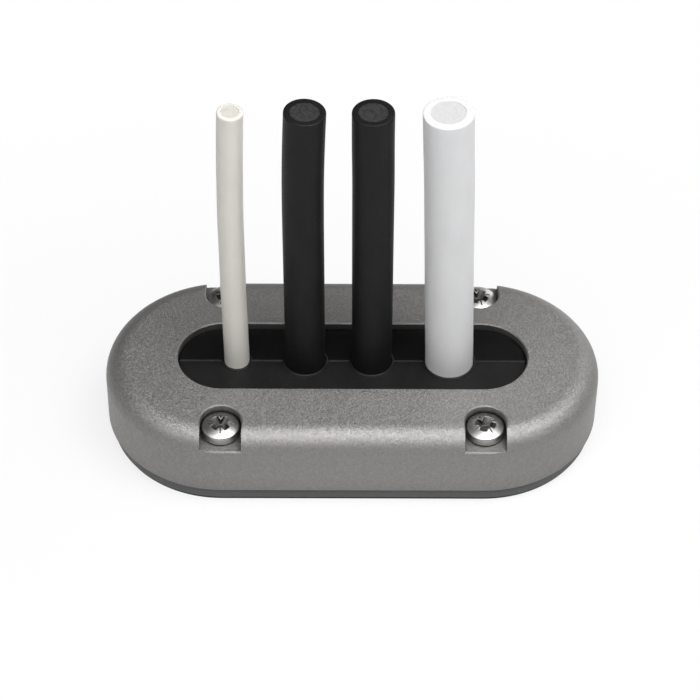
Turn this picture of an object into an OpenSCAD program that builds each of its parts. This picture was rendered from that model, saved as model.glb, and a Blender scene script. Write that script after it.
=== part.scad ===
// Obround cable entry gland for a roof or deck. A radiused metal cover clamps a split rubber seal
// down on a base plate, and four pan-head screws in open-sided pockets draw cover and base together.
// Millimetres. The origin is the middle of the underside, +X runs along the gland, +Z points up.

/* [Cover] */
// Length of the cover over its round ends
cover_length = 126; // [118:1:140]
// Width of the cover, and the diameter of its round ends
cover_width = 60; // [58:0.5:68]
// Height of the cover above the base plate
cover_height = 18.3; // [16:0.1:24]
// Radius that runs all round the top edge
top_radius = 5.7; // [3.8:0.1:6.5]
// Thickness of the outer wall
cover_wall = 3; // [2.2:0.1:3.6]
// Thickness of the top
cover_top = 3; // [2:0.1:3.8]
// Thickness of the stiffening ribs in the hollow underside
rib_thickness = 1.8; // [1.2:0.1:3]
// Distance between the ribs along each side
rib_pitch = 17; // [12:0.5:20]
// Chamfer that breaks the edges of the opening, of the screw pockets and of the foot
edge_break = 0.3; // [0.1:0.05:0.5]

/* [Opening and seal] */
// Length of the opening for the seal
opening_length = 89.2; // [84:0.2:94]
// Width of the opening, and the diameter of its round ends
opening_width = 23.3; // [20:0.1:26]
// Thickness of the wall that hangs round the opening
well_wall = 2.4; // [1.6:0.1:3.2]
// Depth of the seal's face below the top of the cover
seal_recess = 2; // [0.5:0.1:4]
// Gap between the seal and the walls round it
seal_gap = 0.2; // [0.1:0.05:0.5]
// How far the clamped flange stands out from the seal
flange_width = 3; // [2:0.1:4]
// Height of the clamped flange
flange_height = 4.5; // [3:0.1:6]
// Chamfer round the top edge of the seal
seal_chamfer = 0.4; // [0.2:0.1:0.8]
// Chamfer along the split between the two halves
split_chamfer = 0.3; // [0.1:0.05:0.6]
// Radius of the bead that stands up round each cable hole
bead_radius = 0.4; // [0.2:0.05:0.6]

/* [Screws] */
// Distance between the screws along the gland
screw_spacing_x = 66; // [52:0.5:68]
// Distance of the screws in from the long sides
screw_edge = 7; // [6.6:0.1:8.2]
// Outer diameter of the screw's thread
screw_d = 4.8; // [4.2:0.1:5.2]
// Core diameter of the screw, whose thread is left plain
core_d = 3.9; // [3.2:0.1:4.1]
// Diameter of the screw's blunt tip
tip_d = 1.2; // [0.6:0.1:2]
// Length of the screw's tapered point
point_length = 2.4; // [1:0.1:4]
// Diameter of the pan head
head_d = 9.5; // [8.6:0.1:10.4]
// Height of the pan head
head_height = 3.7; // [3:0.1:4.2]
// Radius of the pan head's crown
head_crown = 9; // [7:0.5:14]
// Radius of the edge between the pan head's side and its crown
head_shoulder = 0.5; // [0.2:0.1:1]
// Chamfer under the pan head's edge
head_foot = 0.4; // [0.1:0.05:0.5]
// Span of the cross recess over two opposite arms
recess_span = 5.8; // [4:0.1:6.4]
// Span of the cross recess at its bottom
recess_root = 2.6; // [2.2:0.1:3.4]
// Width of the cross recess's arms
recess_arm = 1.9; // [0.9:0.1:2.1]
// Depth of the cross recess
recess_depth = 2.3; // [1.6:0.1:2.6]
// Diameter of the hub where the arms meet, at the crown
hub_d = 4; // [3:0.1:4.6]
// Depth of that hub, which narrows to the arms' width
hub_depth = 1.3; // [0.8:0.1:1.5]
// Span of the marks between the arms, over two opposite ones
mark_span = 6.4; // [5:0.1:7]
// Width of the marks between the arms
mark_width = 0.3; // [0.2:0.05:0.6]
// Depth of the marks in the crown
mark_depth = 0.25; // [0.15:0.05:0.5]
// Gap between a screw head and the wall of its pocket
pocket_gap = 0.45; // [0.2:0.05:0.8]
// Depth of the screw pockets below the top of the cover
pocket_depth = 4.3; // [3.8:0.1:5.5]
// Thickness of the pad under a screw head
pad_thickness = 3; // [2:0.1:4]
// Wall of the boss round a screw pocket
boss_wall = 2.5; // [1.5:0.1:3]
// Gap between a screw's thread and its hole in the cover
screw_gap = 0.25; // [0.1:0.05:0.5]

/* [Base] */
// Thickness of the base plate
base_thickness = 3.4; // [2.6:0.1:5]
// How far the base plate's edge stands in from the cover's
base_inset = 1; // [0.4:0.1:2]
// Height of the lip that locates the cover
lip_height = 2; // [1:0.1:3]
// Thickness of the lip that locates the cover
lip_wall = 1.6; // [1:0.1:2.5]
// Gap between that lip and the cover
lip_gap = 0.25; // [0.1:0.05:0.5]
// Diameter of the posts that take the screws
post_d = 7.4; // [6.8:0.1:8]
// Gap between a post and the cover
post_gap = 0.3; // [0.15:0.05:0.6]
// Gap between a screw's core and its hole in a post
pilot_gap = 0.1; // [0.05:0.05:0.3]
// Base plate that is left under a screw's point
point_cover = 1.4; // [0.8:0.1:2]
// Room in a post beyond a screw's point
point_room = 0.4; // [0.2:0.1:0.6]
// Thickness of the gasket under the base plate
gasket_thickness = 1; // [0.5:0.1:2]
// How far the gasket stands in from the base plate's edges
gasket_inset = 0.5; // [0.2:0.1:1]

/* [Cables] */
// Diameter of the ivory cable
ivory_d = 6.4; // [5:0.1:8]
// Diameter of the two black cables
black_d = 10.2; // [8:0.1:12]
// Diameter of the white cable
white_d = 12.2; // [10:0.1:14]
// Gap between a cable and its hole in the seal
cable_gap = 0.1; // [0.05:0.05:0.3]

/* [Hidden] */

$fn = 96;
// Sides of a cable's tube
cable_sides = 12;
// Small overshoot that lets a cut run clear of a face
past = 1;

// Heights of the stacked faces, from the underside up
seam_z = gasket_thickness + base_thickness;
top_z = seam_z + cover_height;
flange_top_z = seam_z + flange_height;
seal_top_z = top_z - seal_recess;
ceiling_z = top_z - cover_top;
seat_z = top_z - pocket_depth;
pad_z = seat_z - pad_thickness;
post_top_z = pad_z - post_gap;
point_z = gasket_thickness + point_cover;

// Outlines of the pieces, each as length and width
cover_size = [cover_length, cover_width];
hollow_size = grown(cover_size, -cover_wall);
lip_size = grown(hollow_size, -lip_gap);
base_size = grown(cover_size, -base_inset);
gasket_size = grown(base_size, -gasket_inset);
opening_size = [opening_length, opening_width];
plug_size = grown(opening_size, -seal_gap);
flange_size = grown(plug_size, flange_width);

pocket_r = head_d / 2 + pocket_gap;
screw_x = screw_spacing_x / 2;
screw_y = cover_width / 2 - screw_edge;
// Distance from the middle plane to the cover's flank at the height of the screws' seats
flank_y = cover_width / 2 - top_radius + sqrt(top_radius ^ 2 - max(top_radius - pocket_depth, 0) ^ 2);
hollow_radius = max(top_radius - cover_wall, edge_break);
screw_length = seat_z - point_z;

// Colours of the pieces
BLASTED_GREY = [0.45, 0.45, 0.46];
DARK_GREY = [0.25, 0.25, 0.26];
RUBBER_BLACK = [0.13, 0.13, 0.14];
STAINLESS = [0.75, 0.74, 0.72];
IVORY = [0.78, 0.77, 0.73];
JACKET_BLACK = [0.14, 0.14, 0.15];
JACKET_WHITE = [0.8, 0.8, 0.81];

// Angle at which the driver left each screw's recess
front_left_turn = 45;
front_right_turn = 75;
rear_left_turn = 20;
rear_right_turn = 60;

// Centre lines of the cables from the underside up to their cut ends
ivory_route = [
    [-29.5, 0, 0.5], [-29.5, 0, 11], [-29.5, 0, 22], [-29.7, 0, 34], [-29.9, 0, 46],
    [-30, 0, 58], [-30.1, 0, 70], [-30, 0, 82], [-29.8, 0, 93], [-29.5, 0, 103]
];
black_left_route = [
    [-12.1, 0, 0.5], [-12.1, 0, 11], [-12.1, 0, 22], [-12.2, 0, 34], [-12.3, 0, 46],
    [-12.4, 0, 58], [-12.5, 0, 70], [-12.5, 0, 82], [-12.3, 0, 93], [-12, 0, 103]
];
black_right_route = [
    [4.8, 0, 0.5], [4.8, 0, 11], [4.8, 0, 22], [4.8, 0, 34], [4.7, 0, 46],
    [4.6, 0, 58], [4.5, 0, 70], [4.4, 0, 82], [4.2, 0, 93], [4.1, 0, 103]
];
white_route = [
    [24.6, 0, 0.5], [24.6, 0, 11], [24.6, 0, 22], [24.2, 0, 34], [23.8, 0, 46],
    [23.4, 0, 58], [23, 0, 70], [22.6, 0, 82], [22.1, 0, 93], [21.7, 0, 103]
];
// Each cable's centre line with its diameter
CABLES = [
    [ivory_route, ivory_d], [black_left_route, black_d],
    [black_right_route, black_d], [white_route, white_d]
];

// An outline that is larger by a margin all round
function grown(size, margin) = [size[0] + 2 * margin, size[1] + 2 * margin];

function unit(v) = v / norm(v);

// Direction of a route at one of its points
function heading(route, i) = unit(route[min(i + 1, len(route) - 1)] - route[max(i - 1, 0)]);

// Points round a route's centre line at one of its points
function ring(route, i, r) =
    let (
        along = heading(route, i),
        across = unit([1, 0, 0] - ([1, 0, 0] * along) * along),
        third = cross(along, across)
    )
    [
        for (k = [0 : cable_sides - 1])
            route[i] + r * (cos(360 * k / cable_sides) * across + sin(360 * k / cable_sides) * third)
    ];

// Obround outline
module obround(size) {
    spine = size[0] - size[1];
    square([spine, size[1]], center = true);
    for (side = [-1, 1])
        translate([side * spine / 2, 0])
            circle(d = size[1]);
}

// Sweeps a half section round an obround. The section's x is the distance from the spine.
module obround_sweep(spine) {
    for (side = [0, 180])
        rotate([0, 0, side])
            translate([spine / 2, 0, 0])
                rotate([0, 0, -90])
                    rotate_extrude(angle = 180)
                        children();
    for (side = [0, 1])
        mirror([0, side, 0])
            rotate([90, 0, 90])
                linear_extrude(spine, center = true)
                    children();
}

// Half section with a rounded top corner
module shouldered(half_width, height, radius) {
    difference() {
        square([half_width, height]);
        translate([half_width - radius, height - radius])
            difference() {
                square(radius + past);
                circle(radius);
            }
    }
}

// Obround block with a radius round its top edge
module radiused_block(size, height, radius) {
    obround_sweep(size[0] - size[1])
        shouldered(size[1] / 2, height, radius);
}

// Places its children at each screw, with +Y pointing out of the nearer long side
module at_each_screw() {
    for (x = [-1, 1], turn = [0, 180])
        rotate([0, 0, turn])
            translate([x * screw_x, screw_y, 0])
                children();
}

// Round-ended slot that is open towards +Y
module open_pocket(r, from_z, to_z) {
    translate([0, 0, from_z])
        cylinder(r = r, h = to_z - from_z);
    translate([-r, 0, from_z])
        cube([2 * r, cover_width, to_z - from_z]);
}

// Chamfers round the top edge of an open pocket and along the front edge of its floor
module pocket_edge() {
    translate([0, 0, top_z - edge_break])
        cylinder(r1 = pocket_r, r2 = pocket_r + 2 * edge_break, h = 2 * edge_break);
    translate([0, cover_width, top_z])
        rotate([90, 0, 0])
            linear_extrude(cover_width)
                polygon([
                    [-pocket_r, -edge_break], [pocket_r, -edge_break],
                    [pocket_r + 2 * edge_break, edge_break], [-pocket_r - 2 * edge_break, edge_break]
                ]);
    translate([0, flank_y - screw_y, seat_z])
        rotate([45, 0, 0])
            cube([2 * (pocket_r + edge_break), edge_break * sqrt(2), edge_break * sqrt(2)], center = true);
}

// Chamfer round the top edge of the opening
module opening_edge() {
    translate([0, 0, top_z])
        obround_sweep(opening_length - opening_width)
            polygon([
                [0, -edge_break], [opening_width / 2, -edge_break],
                [opening_width / 2 + 2 * edge_break, edge_break], [0, edge_break]
            ]);
}

// Chamfer round the outer edge of the cover's foot
module foot_edge() {
    half_width = cover_width / 2;
    translate([0, 0, seam_z])
        obround_sweep(cover_length - cover_width)
            polygon([
                [half_width - edge_break - past, -past], [half_width + past, -past],
                [half_width + past, edge_break + past]
            ]);
}

// Ribs that tie the wall round the opening to the outer wall
module ribs() {
    rib_height = ceiling_z - flange_top_z;
    for (i = [-1 : 1])
        translate([i * rib_pitch - rib_thickness / 2, -cover_width / 2, flange_top_z])
            cube([rib_thickness, cover_width, rib_height]);
    translate([-cover_length / 2, -rib_thickness / 2, flange_top_z])
        cube([cover_length, rib_thickness, rib_height]);
}

// Hollow underside of the cover, between the outer wall and the wall round the opening
module cover_hollow() {
    difference() {
        translate([0, 0, seam_z - past])
            radiused_block(hollow_size, ceiling_z - seam_z + past, hollow_radius);
        translate([0, 0, seam_z - 2 * past])
            linear_extrude(cover_height + 2 * past)
                obround(grown(opening_size, well_wall));
        at_each_screw()
            open_pocket(pocket_r + boss_wall, pad_z, top_z);
        ribs();
    }
}

module cover() {
    color(BLASTED_GREY)
        difference() {
            translate([0, 0, seam_z])
                radiused_block(cover_size, cover_height, top_radius);
            cover_hollow();
            translate([0, 0, seam_z - past])
                linear_extrude(cover_height + 2 * past)
                    obround(opening_size);
            opening_edge();
            foot_edge();
            translate([0, 0, seam_z - past])
                linear_extrude(flange_height + past)
                    obround(grown(flange_size, seal_gap));
            at_each_screw() {
                open_pocket(pocket_r, seat_z, top_z + past);
                pocket_edge();
                translate([0, 0, seam_z - past])
                    cylinder(d = screw_d + 2 * screw_gap, h = cover_height);
                translate([0, 0, seam_z - past])
                    cylinder(d = post_d + 2 * post_gap, h = pad_z - seam_z + past);
            }
        }
}

module base_plate() {
    color(DARK_GREY)
        difference() {
            union() {
                translate([0, 0, gasket_thickness])
                    linear_extrude(base_thickness)
                        obround(base_size);
                translate([0, 0, seam_z])
                    linear_extrude(lip_height)
                        difference() {
                            obround(lip_size);
                            obround(grown(lip_size, -lip_wall));
                        }
                at_each_screw()
                    translate([0, 0, gasket_thickness])
                        cylinder(d = post_d, h = post_top_z - gasket_thickness);
            }
            linear_extrude(seam_z + past)
                obround(opening_size);
            at_each_screw()
                translate([0, 0, point_z - point_room])
                    cylinder(d = core_d + 2 * pilot_gap, h = top_z);
        }
}

module deck_gasket() {
    color(RUBBER_BLACK)
        linear_extrude(gasket_thickness)
            difference() {
                obround(gasket_size);
                obround(grown(opening_size, gasket_inset));
            }
}

// Whole seal before it is split: a plug with a flange round its foot
module seal_block() {
    plug_r = plug_size[1] / 2;
    flange_r = flange_size[1] / 2;
    obround_sweep(plug_size[0] - plug_size[1])
        polygon([
            [0, 0], [plug_r, 0], [plug_r, seam_z], [flange_r, seam_z],
            [flange_r, flange_top_z], [plug_r, flange_top_z], [plug_r, seal_top_z - seal_chamfer],
            [plug_r - seal_chamfer, seal_top_z], [0, seal_top_z]
        ]);
}

// Hole for one cable
module cable_hole(route, d) {
    translate([route[0][0], route[0][1], -past])
        cylinder(d = d + 2 * cable_gap, h = top_z + 2 * past);
}

// Rounded bead that the rubber forms round one cable, which the hole then trims
module cable_bead(route, d) {
    translate([route[0][0], route[0][1], seal_top_z])
        rotate_extrude()
            translate([d / 2 + cable_gap + bead_radius / 2, 0])
                circle(bead_radius);
}

// One half of the seal, on the -Y side for -1 and the +Y side for 1
module seal_half(side) {
    color(RUBBER_BLACK)
        difference() {
            union() {
                seal_block();
                for (cable = CABLES)
                    cable_bead(cable[0], cable[1]);
            }
            translate([-cover_length / 2, side < 0 ? 0 : -cover_width, -past])
                cube([cover_length, cover_width, top_z + 2 * past]);
            translate([0, 0, seal_top_z])
                rotate([45, 0, 0])
                    cube([cover_length, split_chamfer * sqrt(2), split_chamfer * sqrt(2)], center = true);
            for (cable = CABLES)
                cable_hole(cable[0], cable[1]);
        }
}

module seal_front_half() {
    seal_half(-1);
}

module seal_rear_half() {
    seal_half(1);
}

// Cone that has one diameter at a depth and another at the height of the crown
module recess_cone(bottom_d, crown_d, depth) {
    translate([0, 0, -depth])
        cylinder(d1 = bottom_d, d2 = 2 * crown_d - bottom_d, h = 2 * depth);
}

// Cross recess, drawn from the crown down: tapered arms round a hub, with marks between the arms
module recess() {
    intersection() {
        for (turn = [0, 90])
            rotate([0, 0, turn])
                cube([recess_span + 2 * past, recess_arm, 2 * recess_depth], center = true);
        recess_cone(recess_root, recess_span, recess_depth);
    }
    recess_cone(recess_arm, hub_d, hub_depth);
    difference() {
        for (turn = [45, 135])
            rotate([0, 0, turn])
                cube([mark_span, mark_width, 2 * recess_depth], center = true);
        translate([0, 0, -head_crown])
            sphere(head_crown - mark_depth);
    }
}

// Half section of the pan head: a straight side, blended into a domed crown by a small radius
module head_section() {
    head_r = head_d / 2;
    crown_centre = [0, head_height - head_crown];
    blend_r = head_r - head_shoulder;
    blend_centre = [blend_r, crown_centre[1] + sqrt((head_crown - head_shoulder) ^ 2 - blend_r ^ 2)];
    far = 2 * head_crown;
    polygon([
        [0, 0], [head_r - head_foot, 0], [head_r, head_foot], [head_r, blend_centre[1]],
        [0, blend_centre[1]]
    ]);
    translate(blend_centre)
        circle(head_shoulder);
    intersection() {
        square([head_r, head_height]);
        translate(crown_centre)
            circle(head_crown);
        translate(crown_centre)
            polygon([[0, 0], far * unit(blend_centre - crown_centre), [0, far]]);
    }
}

// Pan-head screw seated in its pocket. The turn is where the driver left its recess.
module screw(x_side, y_side, turn) {
    color(STAINLESS)
        translate([x_side * screw_x, y_side * screw_y, seat_z]) {
            difference() {
                rotate_extrude()
                    head_section();
                translate([0, 0, head_height])
                    rotate([0, 0, turn])
                        recess();
            }
            translate([0, 0, point_length - screw_length])
                cylinder(d = core_d, h = screw_length - point_length);
            translate([0, 0, -screw_length])
                cylinder(d1 = tip_d, d2 = core_d, h = point_length);
        }
}

module screw_front_left() {
    screw(-1, -1, front_left_turn);
}

module screw_front_right() {
    screw(1, -1, front_right_turn);
}

module screw_rear_left() {
    screw(-1, 1, rear_left_turn);
}

module screw_rear_right() {
    screw(1, 1, rear_right_turn);
}

// Round tube along a route, closed at both ends
module tube(route, d) {
    last = len(route) - 1;
    top = last * cable_sides;
    corners = [for (i = [0 : last]) each ring(route, i, d / 2)];
    walls = [
        for (i = [0 : last - 1], k = [0 : cable_sides - 1])
            let (a = i * cable_sides + k, b = i * cable_sides + (k + 1) % cable_sides)
                each [[a, a + cable_sides, b], [b, a + cable_sides, b + cable_sides]]
    ];
    foot = [for (k = [0 : cable_sides - 1]) k];
    end = [for (k = [cable_sides - 1 : -1 : 0]) top + k];
    polyhedron(points = corners, faces = concat(walls, [foot, end]));
}

module cable_ivory() {
    color(IVORY)
        tube(ivory_route, ivory_d);
}

module cable_black_left() {
    color(JACKET_BLACK)
        tube(black_left_route, black_d);
}

module cable_black_right() {
    color(JACKET_BLACK)
        tube(black_right_route, black_d);
}

module cable_white() {
    color(JACKET_WHITE)
        tube(white_route, white_d);
}

cover();
base_plate();
deck_gasket();
seal_front_half();
seal_rear_half();
screw_front_left();
screw_front_right();
screw_rear_left();
screw_rear_right();
cable_ivory();
cable_black_left();
cable_black_right();
cable_white();
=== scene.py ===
import math

import bmesh
import bpy
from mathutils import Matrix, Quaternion, Vector


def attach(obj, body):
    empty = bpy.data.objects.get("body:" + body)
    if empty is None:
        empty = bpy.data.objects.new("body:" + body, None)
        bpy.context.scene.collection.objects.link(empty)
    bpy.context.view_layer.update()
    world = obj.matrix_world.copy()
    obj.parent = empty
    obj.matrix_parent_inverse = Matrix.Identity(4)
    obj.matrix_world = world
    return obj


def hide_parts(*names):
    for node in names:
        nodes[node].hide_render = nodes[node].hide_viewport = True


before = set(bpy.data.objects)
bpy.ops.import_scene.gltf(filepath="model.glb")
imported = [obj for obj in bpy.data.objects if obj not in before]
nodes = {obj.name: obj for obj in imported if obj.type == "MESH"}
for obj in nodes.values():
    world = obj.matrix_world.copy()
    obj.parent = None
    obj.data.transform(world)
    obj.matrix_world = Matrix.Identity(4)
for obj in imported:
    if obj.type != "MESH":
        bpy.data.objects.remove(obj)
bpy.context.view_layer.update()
scene = bpy.context.scene
scene.view_settings.view_transform = "Standard"

# Lengths are in metres, in the part's own frame
MM = 0.001

# Camera, fitted to the outlines of the cover and its opening
PICTURE_PIXELS = 700
FOCAL_PIXELS = 2666.7
SENSOR_MM = 36
VIEW_TARGET = Vector((-0.00069, 0, 0.02466))
VIEW_DISTANCE = 0.67825
VIEW_ELEVATION = math.radians(44.82)
VIEW_TURN = math.radians(-0.77)
VIEW_ROLL = math.radians(0.73)

# Cables: the heights that all routes share, then each one's slot, diameter and x at those heights
ROUTE_Z = (0.0005, 0.011, 0.022, 0.034, 0.046, 0.058, 0.070, 0.082, 0.093, 0.103)
CABLES = {
    "cable_ivory": (
        "ivory_jacket", 0.0064,
        (-0.0295, -0.0295, -0.0295, -0.0297, -0.0299, -0.0300, -0.0301, -0.0300, -0.0298, -0.0295),
    ),
    "cable_black_left": (
        "black_jacket", 0.0102,
        (-0.0121, -0.0121, -0.0121, -0.0122, -0.0123, -0.0124, -0.0125, -0.0125, -0.0123, -0.0120),
    ),
    "cable_black_right": (
        "black_jacket", 0.0102,
        (0.0048, 0.0048, 0.0048, 0.0048, 0.0047, 0.0046, 0.0045, 0.0044, 0.0042, 0.0041),
    ),
    "cable_white": (
        "white_jacket", 0.0122,
        (0.0246, 0.0246, 0.0246, 0.0242, 0.0238, 0.0234, 0.0230, 0.0226, 0.0221, 0.0217),
    ),
}
CABLE_SIDES = 64
STEPS_PER_SPAN = 8
CUT_ROUND = 0.35 * MM
CUT_ROUND_STEPS = 4
JACKET_SHARE = 0.3
CORE_SINK = 0.15 * MM
SHARP_ANGLE = math.radians(40)

# Finishes: the range that most of a noise lies in, and the samples of two costly nodes
NOISE_LOW = 0.3
NOISE_HIGH = 0.7
ROUNDED_SAMPLES = 6
SHELTER_SAMPLES = 8

# Floor: its glow to the camera and in reflections is dimmer near the part, where its shadow lies
FLOOR_HALF = 3.0
FLOOR_WHITE = 0.66
FLOOR_ROUGHNESS = 0.9
GLOW_NEAR = 0.78
GLOW_FAR = 1.0
GLOW_STARTS = 0.075
GLOW_FULL = 0.2
GLOW_SCALE = (1, 1.5, 1)

# Light: a dim room, and lamps that face one point, each with its place, width, height and watts
WORLD_LEVEL = 0.02
LAMP_AIM = Vector((0, 0, 0.02))
LAMPS = {
    "key_softbox": (Vector((0.1, -0.2, 0.6)), 0.61, 0.44, 4.75),
    "right_softbox": (Vector((0.37, -0.1, 0.6)), 0.51, 0.51, 2.15),
    "left_softbox": (Vector((-0.34, -0.34, 0.56)), 0.51, 0.44, 1.95),
    "rear_fill": (Vector((0.35, 0.5, 0.16)), 0.4, 0.25, 0.8),
}


def place_camera():
    back = Vector((
        math.sin(VIEW_TURN) * math.cos(VIEW_ELEVATION),
        -math.cos(VIEW_TURN) * math.cos(VIEW_ELEVATION),
        math.sin(VIEW_ELEVATION),
    ))
    data = bpy.data.cameras.new("photo_camera")
    data.sensor_width = SENSOR_MM
    data.lens = FOCAL_PIXELS * SENSOR_MM / PICTURE_PIXELS
    camera = bpy.data.objects.new("photo_camera", data)
    camera.location = VIEW_TARGET + VIEW_DISTANCE * back
    camera.rotation_mode = "QUATERNION"
    level = (-back).to_track_quat("-Z", "Y")
    camera.rotation_quaternion = level @ Quaternion((0, 0, 1), VIEW_ROLL)
    scene.collection.objects.link(camera)
    scene.camera = camera


def smooth_route(points):
    """Points along a smooth curve that passes through the given ones."""
    ends = [2 * points[0] - points[1], *points, 2 * points[-1] - points[-2]]
    route = []
    for a, b, c, d in zip(ends, ends[1:], ends[2:], ends[3:]):
        for step in range(STEPS_PER_SPAN):
            t = step / STEPS_PER_SPAN
            bend = (2 * a - 5 * b + 4 * c - d) * t + (3 * b - a - 3 * c + d) * t * t
            route.append(b + (c - a + bend) * t / 2)
    return route + [points[-1]]


def cut_profile(radius):
    """Radius and height of the rings at a cable's cut end, from its wall to the edge of its core."""
    rim = []
    for step in range(1, CUT_ROUND_STEPS + 1):
        angle = math.radians(90) * step / CUT_ROUND_STEPS
        rim.append((radius - CUT_ROUND * (1 - math.cos(angle)), -CUT_ROUND * (1 - math.sin(angle))))
    core = radius * (1 - JACKET_SHARE)
    return rim + [(core, 0), (core, -CORE_SINK)]


def cable_mesh(name, route, radius):
    """Round tube along a route, closed flat below and cut square above, with a core in its jacket."""
    bm = bmesh.new()
    rings = []

    def add_ring(centre, along, r):
        across = (Vector((1, 0, 0)) - along.x * along).normalized()
        third = along.cross(across)
        ring = []
        for k in range(CABLE_SIDES):
            angle = 2 * math.pi * k / CABLE_SIDES
            ring.append(bm.verts.new(centre + r * (math.cos(angle) * across + math.sin(angle) * third)))
        rings.append(ring)

    for i, point in enumerate(route[:-1]):
        along = (route[i + 1] - route[max(i - 1, 0)]).normalized()
        add_ring(point, along, radius)
    along = (route[-1] - route[-2]).normalized()
    add_ring(route[-1] - CUT_ROUND * along, along, radius)
    for r, height in cut_profile(radius):
        add_ring(route[-1] + height * along, along, r)
    for low, high in zip(rings, rings[1:]):
        for k in range(CABLE_SIDES):
            after = (k + 1) % CABLE_SIDES
            bm.faces.new((low[k], low[after], high[after], high[k]))
    bm.faces.new(rings[0][::-1])
    core_face = bm.faces.new(rings[-1])
    core_face.material_index = 1
    bm.normal_update()
    for face in bm.faces:
        face.smooth = len(face.verts) == 4
    mesh = bpy.data.meshes.new(name)
    bm.to_mesh(mesh)
    bm.free()
    mesh.set_sharp_from_angle(angle=SHARP_ANGLE)
    return mesh


def make_cables():
    made = {}
    for name, (slot, diameter, places) in CABLES.items():
        points = [Vector((x, 0, z)) for x, z in zip(places, ROUTE_Z)]
        route = smooth_route(points)
        piece = bpy.data.objects.new(f"{name}_jacket", cable_mesh(name, route, diameter / 2))
        scene.collection.objects.link(piece)
        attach(piece, "root")
        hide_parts(name)
        made[name] = piece
    return made


class Finish:
    """One material's node tree, with short calls for the nodes that the finishes share."""

    def __init__(self, name, **values):
        self.material = bpy.data.materials.new(name)
        self.material.use_nodes = True
        self.tree = self.material.node_tree
        self.shader = self.tree.nodes["Principled BSDF"]
        for socket, value in values.items():
            self.shader.inputs[socket.replace("_", " ")].default_value = value
        self.place = self.add("ShaderNodeTexCoord").outputs["Object"]

    def add(self, kind, inputs=(), **settings):
        """A node with its settings, its inputs set or linked by name or number."""
        node = self.tree.nodes.new(kind)
        for setting, value in settings.items():
            setattr(node, setting, value)
        for socket, value in dict(inputs).items():
            if isinstance(value, bpy.types.NodeSocket):
                self.tree.links.new(value, node.inputs[socket])
            else:
                node.inputs[socket].default_value = value
        return node

    def number(self, operation, first, second):
        return self.add("ShaderNodeMath", {0: first, 1: second}, operation=operation).outputs[0]

    def vector(self, operation, inputs):
        return self.add("ShaderNodeVectorMath", inputs, operation=operation).outputs

    def scaled_place(self, scale):
        return self.add("ShaderNodeMapping", {"Vector": self.place, "Scale": scale}).outputs[0]

    def noise(self, size, detail=2.0, scale=(1, 1, 1)):
        """Noise whose grains are about that size, in metres, and longer along an axis of small scale."""
        inputs = {"Vector": self.scaled_place(scale), "Scale": 1 / size, "Detail": detail}
        return self.add("ShaderNodeTexNoise", inputs).outputs["Fac"]

    def between(self, factor, low, high, from_low=NOISE_LOW, from_high=NOISE_HIGH):
        """A number that follows a factor from one value to another."""
        inputs = {0: factor, 1: from_low, 2: from_high, 3: low, 4: high}
        return self.add("ShaderNodeMapRange", inputs).outputs[0]

    def blend(self, factor, first, second):
        """A colour between two others."""
        inputs = {0: factor, 6: first, 7: second}
        return self.add("ShaderNodeMix", inputs, data_type="RGBA").outputs[2]

    def bump(self, height, depth, strength=1.0, normal=None):
        """A bumped normal, whose full height is that depth, in metres."""
        inputs = {"Height": height, "Distance": depth, "Strength": strength}
        if normal:
            inputs["Normal"] = normal
        return self.add("ShaderNodeBump", inputs).outputs[0]

    def rounded(self, radius):
        """The normal that the surface would have with its edges rounded."""
        return self.add("ShaderNodeBevel", {"Radius": radius}, samples=ROUNDED_SAMPLES).outputs[0]

    def cells(self, size):
        """Random colours, each on one small cell of about that size, in metres."""
        inputs = {"Vector": self.place, "Scale": 1 / size}
        return self.add("ShaderNodeTexVoronoi", inputs).outputs["Color"]

    def facets(self, colours, tilt, normal):
        """A normal that leans in each cell by its colour, as on a surface of small flat facets."""
        lean = self.vector("SUBTRACT", {0: colours, 1: (0.5, 0.5, 0.5)})[0]
        lean = self.vector("SCALE", {0: lean, "Scale": tilt})[0]
        leaning = self.vector("ADD", {0: normal, 1: lean})[0]
        return self.vector("NORMALIZE", {0: leaning})[0]

    def shelter(self, reach, closed, clear, own=False):
        """1 where as little is open within a reach, in metres, as closed says, and 0 from clear on.

        With own set, it sees its own piece alone.
        """
        settings = {"samples": SHELTER_SAMPLES, "only_local": own}
        share = self.add("ShaderNodeAmbientOcclusion", {"Distance": reach}, **settings).outputs["AO"]
        return self.between(share, 1, 0, closed, clear)

    def drive(self, socket, value):
        self.tree.links.new(value, self.shader.inputs[socket])


def grey(value):
    return (value, value, value, 1)


def blasted_aluminium():
    """Fine grains that lean and differ in tint, with painted shade that darkens the metal's colour in
    corners and crevices.
    """
    grain_size, coarse_size, cloud_size = 0.18 * MM, 1.2 * MM, 30 * MM
    light, dark = (0.37, 0.362, 0.355, 1), (0.242, 0.237, 0.232, 1)
    # The cloud grey is a random tone, and the corner and crevice greys are painted shade.
    cloud_tint, corner_painted_shade, crevice_painted_shade = grey(0.26), grey(0.19), grey(0.06)
    cloud_share = 0.12
    grain_tilt = 0.32
    edge_radius, coarse_depth = 0.12 * MM, 0.015 * MM
    finish = Finish("blasted_aluminium", Metallic=1.0)
    grains = finish.cells(grain_size)
    coarse = finish.noise(coarse_size, detail=1)
    cloud = finish.between(finish.noise(cloud_size), 0, cloud_share)
    # Painted shade: the colour darkens where little is open nearby, at the wall's foot, in the pockets
    # and in crevices.
    corner = finish.shelter(10 * MM, closed=0.3, clear=1)
    crevice = finish.shelter(1.6 * MM, closed=0.2, clear=0.65)
    tint = finish.blend(grains, light, dark)
    for share, shade in ((cloud, cloud_tint), (corner, corner_painted_shade), (crevice, crevice_painted_shade)):
        tint = finish.blend(share, tint, shade)
    finish.drive("Base Color", tint)
    finish.drive("Roughness", finish.between(coarse, 0.6, 0.68))
    blasted = finish.facets(grains, grain_tilt, finish.rounded(edge_radius))
    finish.drive("Normal", finish.bump(coarse, coarse_depth, normal=blasted))
    return finish.material


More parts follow.
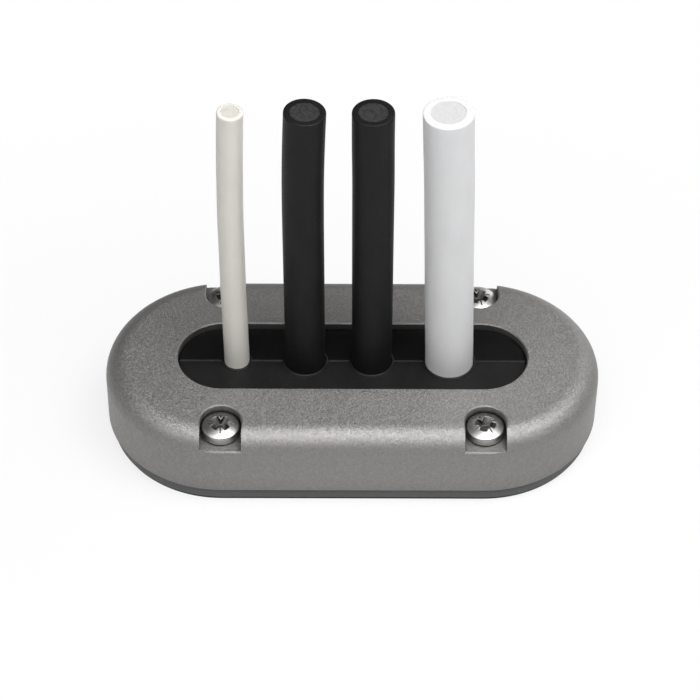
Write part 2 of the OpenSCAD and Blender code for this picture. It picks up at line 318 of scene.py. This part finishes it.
def moulded_plastic():
    texture_size, cloud_size = 0.4 * MM, 12 * MM
    edge_radius, texture_depth = 0.3 * MM, 0.03 * MM
    finish = Finish("moulded_plastic")
    texture = finish.noise(texture_size)
    cloud = finish.noise(cloud_size)
    finish.drive("Base Color", finish.blend(cloud, grey(0.067), grey(0.084)))
    finish.drive("Roughness", finish.between(texture, 0.5, 0.62))
    finish.drive("Normal", finish.bump(texture, texture_depth, normal=finish.rounded(edge_radius)))
    return finish.material


def matt_rubber(name, low, high):
    texture_size, cloud_size = 0.5 * MM, 9 * MM
    edge_radius, texture_depth = 0.15 * MM, 0.035 * MM
    finish = Finish(name, Specular_IOR_Level=0.18)
    texture = finish.noise(texture_size, detail=3)
    cloud = finish.between(finish.noise(cloud_size), 0, 1)
    finish.drive("Base Color", finish.blend(cloud, grey(low), grey(high)))
    finish.drive("Roughness", finish.between(texture, 0.36, 0.46))
    finish.drive("Normal", finish.bump(texture, texture_depth, normal=finish.rounded(edge_radius)))
    return finish.material


def bright_steel():
    """Scuffed steel, with painted shade that darkens its colour inside a screw's recess."""
    scuff_size, cloud_size = 0.35 * MM, 2 * MM
    dull, bright, recess_painted_shade = (0.45, 0.437, 0.417, 1), (0.53, 0.515, 0.493, 1), grey(0.105)
    edge_radius, scuff_depth = 0.15 * MM, 0.009 * MM
    finish = Finish("bright_steel", Metallic=1.0)
    scuff = finish.noise(scuff_size, detail=3)
    tint = finish.blend(finish.noise(cloud_size), dull, bright)
    # Painted shade: the colour darkens where the screw's own shape closes around it, inside its recess.
    recess = finish.shelter(3 * MM, closed=0.55, clear=0.85, own=True)
    finish.drive("Base Color", finish.blend(recess, tint, recess_painted_shade))
    finish.drive("Roughness", finish.between(scuff, 0.32, 0.43))
    finish.drive("Normal", finish.bump(scuff, scuff_depth, normal=finish.rounded(edge_radius)))
    return finish.material


def jacket(name, low, high, roughness, specular):
    """Extruded cable jacket, with fine lines along it and a slightly uneven skin."""
    texture_size, line_size, skin_size = 0.35 * MM, 0.5 * MM, 5 * MM
    texture_depth, line_depth, skin_depth = 0.012 * MM, 0.02 * MM, 0.12 * MM
    line_scale, skin_scale = (1, 1, 0.02), (1, 1, 0.5)
    spread = 0.05
    finish = Finish(name, Specular_IOR_Level=specular)
    lines = finish.noise(line_size, scale=line_scale)
    skin = finish.noise(skin_size, detail=3, scale=skin_scale)
    texture = finish.noise(texture_size)
    finish.drive("Base Color", finish.blend(finish.between(skin, 0, 1), low, high))
    finish.drive("Roughness", finish.between(texture, roughness - spread, roughness + spread))
    uneven = finish.bump(skin, skin_depth, strength=0.5)
    drawn = finish.bump(lines, line_depth, normal=uneven)
    finish.drive("Normal", finish.bump(texture, texture_depth, normal=drawn))
    return finish.material


def cut_core(name, low, high):
    grain_size, grain_depth = 0.6 * MM, 0.06 * MM
    finish = Finish(name, Specular_IOR_Level=0.3)
    grain = finish.noise(grain_size, detail=4)
    finish.drive("Base Color", finish.blend(finish.between(grain, 0, 1), low, high))
    finish.drive("Roughness", finish.between(grain, 0.55, 0.75))
    finish.drive("Normal", finish.bump(grain, grain_depth))
    return finish.material


def dress_nodes():
    finishes = {
        "cover": blasted_aluminium(),
        "base_plate": moulded_plastic(),
        # The seal halves are lit and shaded copies of one rubber: the front half's lighter colour is
        # painted light, and the rear half's darker colour is painted shade.
        "seal_front_half": matt_rubber("seal_front_rubber_painted_light", 0.008, 0.012),
        "seal_rear_half": matt_rubber("seal_rear_rubber_painted_shade", 0.0036, 0.0056),
        "deck_gasket": matt_rubber("gasket_rubber_matt", 0.012, 0.02),
    }
    steel = bright_steel()
    finishes.update({name: steel for name in nodes if name.startswith("screw_")})
    for name, material in finishes.items():
        nodes[name].data.materials.clear()
        nodes[name].data.materials.append(material)


def dress_cables(cables):
    pale, dark = {"roughness": 0.45, "specular": 0.4}, {"roughness": 0.55, "specular": 0.22}
    skins = {
        "ivory_jacket": (
            jacket("ivory_skin", (0.555, 0.538, 0.497, 1), (0.595, 0.577, 0.536, 1), **pale),
            cut_core("ivory_core", (0.42, 0.405, 0.37, 1), (0.48, 0.465, 0.43, 1)),
        ),
        "black_jacket": (
            jacket("black_skin", (0.0042, 0.0042, 0.0047, 1), (0.0068, 0.0068, 0.0077, 1), **dark),
            cut_core("black_core", grey(0.012), grey(0.03)),
        ),
        "white_jacket": (
            jacket("white_skin", (0.572, 0.574, 0.582, 1), (0.602, 0.604, 0.612, 1), **pale),
            cut_core("white_core", grey(0.42), grey(0.48)),
        ),
    }
    for name, piece in cables.items():
        slot = CABLES[name][0]
        for material in skins[slot]:
            piece.data.materials.append(material)


def floor_white():
    """Pale floor, which the camera and reflections see as nearly white."""
    colour = grey(FLOOR_WHITE)
    finish = Finish("floor_white", Base_Color=colour, Roughness=FLOOR_ROUGHNESS, Specular_IOR_Level=0.0)
    glow = finish.add("ShaderNodeEmission", {"Color": grey(1), "Strength": 1.0})
    rays = finish.add("ShaderNodeLightPath").outputs
    seen = finish.number("MAXIMUM", rays["Is Camera Ray"], rays["Is Glossy Ray"])
    seen = finish.number("MAXIMUM", seen, rays["Is Transmission Ray"])
    distance = finish.vector("LENGTH", {0: finish.scaled_place(GLOW_SCALE)})["Value"]
    level = finish.between(distance, GLOW_NEAR, GLOW_FAR, GLOW_STARTS, GLOW_FULL)
    share = finish.number("MULTIPLY", seen, level)
    surfaces = {0: share, 1: finish.shader.outputs[0], 2: glow.outputs[0]}
    mix = finish.add("ShaderNodeMixShader", surfaces)
    finish.tree.links.new(mix.outputs[0], finish.tree.nodes["Material Output"].inputs["Surface"])
    return finish.material


def make_floor():
    bm = bmesh.new()
    corners = [(-1, -1), (1, -1), (1, 1), (-1, 1)]
    bm.faces.new([bm.verts.new((x * FLOOR_HALF, y * FLOOR_HALF, 0)) for x, y in corners])
    mesh = bpy.data.meshes.new("floor")
    bm.to_mesh(mesh)
    bm.free()
    mesh.materials.append(floor_white())
    floor = bpy.data.objects.new("floor", mesh)
    scene.collection.objects.link(floor)


def make_world():
    """Dim room, which fills the shadows."""
    world = bpy.data.worlds.new("studio")
    scene.world = world
    world.use_nodes = True
    room = world.node_tree.nodes["Background"]
    room.inputs["Color"].default_value = grey(1)
    room.inputs["Strength"].default_value = WORLD_LEVEL


def add_lamp(name, place, width, height, watts):
    data = bpy.data.lights.new(name, "AREA")
    data.shape = "RECTANGLE"
    data.size = width
    data.size_y = height
    data.energy = watts
    lamp = bpy.data.objects.new(name, data)
    lamp.location = place
    lamp.rotation_mode = "QUATERNION"
    lamp.rotation_quaternion = (LAMP_AIM - place).to_track_quat("-Z", "Y")
    lamp.visible_camera = False
    scene.collection.objects.link(lamp)


place_camera()
cables = make_cables()
dress_nodes()
dress_cables(cables)
make_floor()
make_world()
for name, values in LAMPS.items():
    add_lamp(name, *values)
